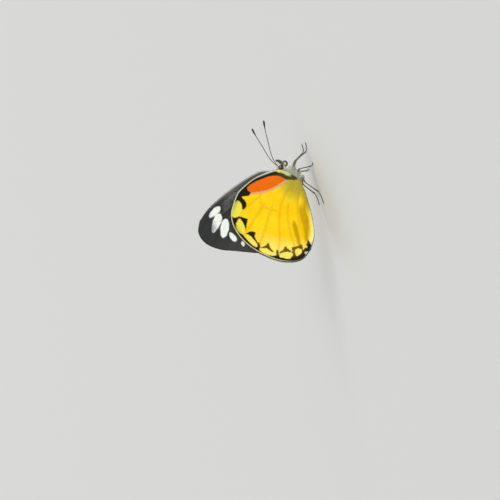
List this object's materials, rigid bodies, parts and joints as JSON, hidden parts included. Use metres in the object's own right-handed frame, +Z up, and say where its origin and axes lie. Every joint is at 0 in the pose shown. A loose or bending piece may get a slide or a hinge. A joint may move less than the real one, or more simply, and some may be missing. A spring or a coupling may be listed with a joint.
{
  "type": "red-spot jezebel butterfly",
  "caption": "Life-size butterfly standing with its wings closed over its back: yellow hindwings edged in black with a red patch, black forewings, feelers forward.",
  "frame": {"origin": "middle of the model's box at floor level, between the feet and under the wings", "axes": "+X the way the head faces, +Y the animal's left side, +Z up; the feet rest on z = 0"},
  "size_m": [0.053, 0.0166, 0.0468],
  "materials": {
    "thorax": "dark cuticle under long grey and pale green hair",
    "head": "dark cuticle under short grey hair",
    "abdomen": "ringed, covered in pale cream scales",
    "forewing": "dull black scales with a row of white spots and a pale grey front edge",
    "hindwing": "dull chrome yellow scales with a black border, yellow spots and a red patch at the front edge",
    "leg": "dark and slender, dusted with pale scales",
    "eye": "glossy dark brown with fine facets",
    "antenna": "black and ringed, with a clubbed tip",
    "palp": "bristly grey hair",
    "tongue": "smooth brown tube, coiled"
  },
  "bodies": {
    "root": {"thorax": "thorax", "head": "head", "abdomen": "abdomen", "forewing_right": "forewing", "forewing_left": "forewing", "hindwing_right": "hindwing", "hindwing_left": "hindwing", "leg_front_right": "leg", "leg_front_left": "leg", "leg_middle_right": "leg", "leg_middle_left": "leg", "leg_hind_right": "leg", "leg_hind_left": "leg", "eye_right": "eye", "eye_left": "eye", "antenna_right": "antenna", "antenna_left": "antenna", "palp_right": "palp", "palp_left": "palp", "proboscis": "tongue"}
  },
  "joints": []
}
